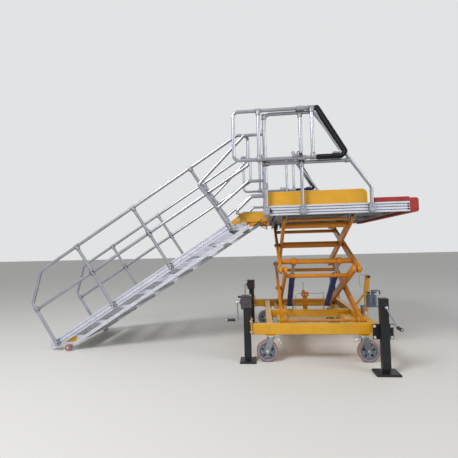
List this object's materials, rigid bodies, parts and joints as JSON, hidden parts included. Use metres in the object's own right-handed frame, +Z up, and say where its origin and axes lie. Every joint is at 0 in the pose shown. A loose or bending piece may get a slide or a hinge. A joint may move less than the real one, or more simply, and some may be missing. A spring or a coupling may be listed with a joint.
{
  "type": "aircraft cargo door access stand",
  "caption": "Scissor lift access stand for an aircraft cargo door, with a self-levelling stair, sliding padded guards, casters and screw jacks.",
  "frame": {"origin": "middle of the overall length and width, at floor level", "axes": "+X towards the bumper, +Y to the far side, +Z up"},
  "size_m": [4.8802, 3.03, 2.917],
  "materials": {
    "yellow_paint": "gloss",
    "orange_paint": "gloss",
    "black_paint": "satin",
    "grey_paint": "satin",
    "blue_paint": "gloss",
    "zinc_steel": "satin",
    "chrome_rod": "polished",
    "aluminium": "satin",
    "grey_aluminium": "satin",
    "rail_tube": "satin",
    "yellow_board": "satin",
    "red_rubber": "matte",
    "black_rubber": "matte",
    "foam": "matte",
    "tyre": "satin",
    "hub_grey": "satin"
  },
  "bodies": {
    "base": {"chassis_frame": "yellow_paint", "caster_plates": "zinc_steel", "jack_tubes": "black_paint", "jack_cranks": "zinc_steel", "hand_pump": "grey_paint"},
    "leg_near_left": {"jack_leg_near_left": "black_paint"},
    "leg_far_left": {"jack_leg_far_left": "black_paint"},
    "leg_near_right": {"jack_leg_near_right": "black_paint"},
    "leg_far_right": {"jack_leg_far_right": "black_paint"},
    "fork_near_left": {"caster_fork_near_left": "zinc_steel"},
    "wheel_near_left": {"caster_tyre_near_left": "tyre", "caster_hub_near_left": "hub_grey"},
    "fork_near_right": {"caster_fork_near_right": "zinc_steel"},
    "wheel_near_right": {"caster_tyre_near_right": "tyre", "caster_hub_near_right": "hub_grey"},
    "fork_far_left": {"caster_fork_far_left": "zinc_steel"},
    "wheel_far_left": {"caster_tyre_far_left": "tyre", "caster_hub_far_left": "hub_grey"},
    "fork_far_right": {"caster_fork_far_right": "zinc_steel"},
    "wheel_far_right": {"caster_tyre_far_right": "tyre", "caster_hub_far_right": "hub_grey"},
    "arms_1": {"arms_lower_outer": "orange_paint"},
    "arms_2": {"arms_lower_inner": "orange_paint", "base_rollers": "zinc_steel"},
    "arms_3": {"arms_upper_inner": "orange_paint"},
    "arms_4": {"arms_upper_outer": "orange_paint", "deck_rollers": "zinc_steel"},
    "platform": {"platform_frame": "grey_aluminium", "deck_planks": "aluminium", "side_extrusions": "aluminium", "toe_boards": "yellow_board", "bumper": "red_rubber", "edge_pads": "red_rubber", "fixed_rails": "rail_tube", "entry_rails": "rail_tube", "stair_cheeks": "yellow_paint", "landing_plate": "aluminium"},
    "barrels": {"cylinder_barrels": "blue_paint"},
    "rods": {"cylinder_rods": "chrome_rod"},
    "stair": {"stair_stringers": "aluminium", "stair_handrails": "rail_tube"},
    "stair_lower": {"stair_lower_rails": "aluminium"},
    "tread_1": {"stair_tread_1": "aluminium"},
    "tread_2": {"stair_tread_2": "aluminium"},
    "tread_3": {"stair_tread_3": "aluminium"},
    "tread_4": {"stair_tread_4": "aluminium"},
    "tread_5": {"stair_tread_5": "aluminium"},
    "tread_6": {"stair_tread_6": "aluminium"},
    "tread_7": {"stair_tread_7": "aluminium"},
    "tread_8": {"stair_tread_8": "aluminium"},
    "foot_rollers": {"stair_foot_rollers": "black_rubber"},
    "guard_near": {"guard_frame_near": "rail_tube", "guard_pad_near": "foam"},
    "guard_far": {"guard_frame_far": "rail_tube", "guard_pad_far": "foam"},
    "drawbar": {"drawbar": "orange_paint"}
  },
  "joints": [
    {"name": "jack_near_left_slide", "type": "slide", "parent": "base", "child": "leg_near_left", "axis": [0, 0, 1], "range_m": [-0.12, 0.02]},
    {"name": "jack_far_left_slide", "type": "slide", "parent": "base", "child": "leg_far_left", "axis": [0, 0, 1], "range_m": [-0.12, 0.02]},
    {"name": "jack_near_right_slide", "type": "slide", "parent": "base", "child": "leg_near_right", "axis": [0, 0, 1], "range_m": [-0.12, 0.02]},
    {"name": "jack_far_right_slide", "type": "slide", "parent": "base", "child": "leg_far_right", "axis": [0, 0, 1], "range_m": [-0.12, 0.02]},
    {"name": "caster_near_left_swivel", "type": "hinge", "parent": "base", "child": "fork_near_left", "pos_m": [0.7801, -0.935, 0.125], "axis": [0, 0, 1], "continuous": true},
    {"name": "caster_near_left_roll", "type": "hinge", "parent": "fork_near_left", "child": "wheel_near_left", "pos_m": [0.7331, -0.935, 0.125], "axis": [0, 1, 0], "continuous": true},
    {"name": "caster_near_right_swivel", "type": "hinge", "parent": "base", "child": "fork_near_right", "pos_m": [1.8291, -0.935, 0.125], "axis": [0, 0, 1], "continuous": true},
    {"name": "caster_near_right_roll", "type": "hinge", "parent": "fork_near_right", "child": "wheel_near_right", "pos_m": [1.8761, -0.935, 0.125], "axis": [0, 1, 0], "continuous": true},
    {"name": "caster_far_left_swivel", "type": "hinge", "parent": "base", "child": "fork_far_left", "pos_m": [0.7801, 0.935, 0.125], "axis": [0, 0, 1], "continuous": true},
    {"name": "caster_far_left_roll", "type": "hinge", "parent": "fork_far_left", "child": "wheel_far_left", "pos_m": [0.7331, 0.935, 0.125], "axis": [0, 1, 0], "continuous": true},
    {"name": "caster_far_right_swivel", "type": "hinge", "parent": "base", "child": "fork_far_right", "pos_m": [1.8291, 0.935, 0.125], "axis": [0, 0, 1], "continuous": true},
    {"name": "caster_far_right_roll", "type": "hinge", "parent": "fork_far_right", "child": "wheel_far_right", "pos_m": [1.8761, 0.935, 0.125], "axis": [0, 1, 0], "continuous": true},
    {"name": "lift", "type": "hinge", "parent": "base", "child": "arms_1", "pos_m": [1.3901, -0.75, 0.43], "axis": [1, 0, 0], "range_deg": [-10, 15.5]},
    {"name": "scissor_lower_cross", "type": "hinge", "parent": "arms_1", "child": "arms_2", "pos_m": [1.3901, 0, 0.735], "axis": [1, 0, 0], "range_deg": [-31, 20]},
    {"name": "scissor_middle", "type": "hinge", "parent": "arms_1", "child": "arms_3", "pos_m": [1.3901, 0.75, 1.04], "axis": [1, 0, 0], "range_deg": [-31, 20]},
    {"name": "scissor_upper_cross", "type": "hinge", "parent": "arms_3", "child": "arms_4", "pos_m": [1.3901, 0, 1.345], "axis": [1, 0, 0], "range_deg": [-20, 31]},
    {"name": "platform_level", "type": "hinge", "parent": "arms_3", "child": "platform", "pos_m": [1.3901, -0.75, 1.65], "axis": [1, 0, 0], "range_deg": [-10, 15.5]},
    {"name": "cylinder_foot", "type": "hinge", "parent": "base", "child": "barrels", "pos_m": [1.3901, 0.42, 0.43], "axis": [1, 0, 0], "range_deg": [-18.02, 11.81]},
    {"name": "cylinder_stroke", "type": "slide", "parent": "barrels", "child": "rods", "axis": [0, -0.8029, 0.5961], "range_m": [-0.2023, 0.308]},
    {"name": "stair_slope", "type": "hinge", "parent": "platform", "child": "stair", "pos_m": [0.4231, 0, 1.695], "axis": [0, -1, 0], "range_deg": [-12.5, 18]},
    {"name": "stair_lower_slope", "type": "hinge", "parent": "platform", "child": "stair_lower", "pos_m": [0.6841, 0, 1.695], "axis": [0, -1, 0], "range_deg": [-12.5, 18]},
    {"name": "tread_1_level", "type": "hinge", "parent": "stair", "child": "tread_1", "pos_m": [0.24909, 0, 1.585], "axis": [0, -1, 0], "range_deg": [-18, 12.5]},
    {"name": "tread_2_level", "type": "hinge", "parent": "stair", "child": "tread_2", "pos_m": [-0.06728, 0, 1.385], "axis": [0, -1, 0], "range_deg": [-18, 12.5]},
    {"name": "tread_3_level", "type": "hinge", "parent": "stair", "child": "tread_3", "pos_m": [-0.38365, 0, 1.185], "axis": [0, -1, 0], "range_deg": [-18, 12.5]},
    {"name": "tread_4_level", "type": "hinge", "parent": "stair", "child": "tread_4", "pos_m": [-0.70001, 0, 0.985], "axis": [0, -1, 0], "range_deg": [-18, 12.5]},
    {"name": "tread_5_level", "type": "hinge", "parent": "stair", "child": "tread_5", "pos_m": [-1.01638, 0, 0.785], "axis": [0, -1, 0], "range_deg": [-18, 12.5]},
    {"name": "tread_6_level", "type": "hinge", "parent": "stair", "child": "tread_6", "pos_m": [-1.33275, 0, 0.585], "axis": [0, -1, 0], "range_deg": [-18, 12.5]},
    {"name": "tread_7_level", "type": "hinge", "parent": "stair", "child": "tread_7", "pos_m": [-1.64912, 0, 0.385], "axis": [0, -1, 0], "range_deg": [-18, 12.5]},
    {"name": "tread_8_level", "type": "hinge", "parent": "stair", "child": "tread_8", "pos_m": [-1.96549, 0, 0.185], "axis": [0, -1, 0], "range_deg": [-18, 12.5]},
    {"name": "foot_roller_roll", "type": "hinge", "parent": "stair_lower", "child": "foot_rollers", "pos_m": [-1.92595, 0, 0.045], "axis": [0, 1, 0], "continuous": true},
    {"name": "guard_near_slide", "type": "slide", "parent": "platform", "child": "guard_near", "axis": [1, 0, 0], "range_m": [0, 0.39]},
    {"name": "guard_far_slide", "type": "slide", "parent": "platform", "child": "guard_far", "axis": [1, 0, 0], "range_m": [0, 0.39]},
    {"name": "drawbar_fold", "type": "hinge", "parent": "base", "child": "drawbar", "pos_m": [2.1151, 0, 0.375], "axis": [0, 1, 0], "range_deg": [0, 80]}
  ],
  "couplings": [
    {"joint": "scissor_lower_cross", "follows": "lift", "ratio": -2},
    {"joint": "scissor_middle", "follows": "lift", "ratio": -2},
    {"joint": "scissor_upper_cross", "follows": "lift", "ratio": 2},
    {"joint": "platform_level", "follows": "lift", "ratio": 1},
    {"joint": "cylinder_foot", "follows": "lift", "ratio": -1.1305},
    {"joint": "cylinder_stroke", "follows": "lift", "m_per_rad": 1.1017},
    {"joint": "stair_lower_slope", "follows": "stair_slope", "ratio": 1},
    {"joint": "tread_1_level", "follows": "stair_slope", "ratio": -1},
    {"joint": "tread_2_level", "follows": "stair_slope", "ratio": -1},
    {"joint": "tread_3_level", "follows": "stair_slope", "ratio": -1},
    {"joint": "tread_4_level", "follows": "stair_slope", "ratio": -1},
    {"joint": "tread_5_level", "follows": "stair_slope", "ratio": -1},
    {"joint": "tread_6_level", "follows": "stair_slope", "ratio": -1},
    {"joint": "tread_7_level", "follows": "stair_slope", "ratio": -1},
    {"joint": "tread_8_level", "follows": "stair_slope", "ratio": -1}
  ]
}
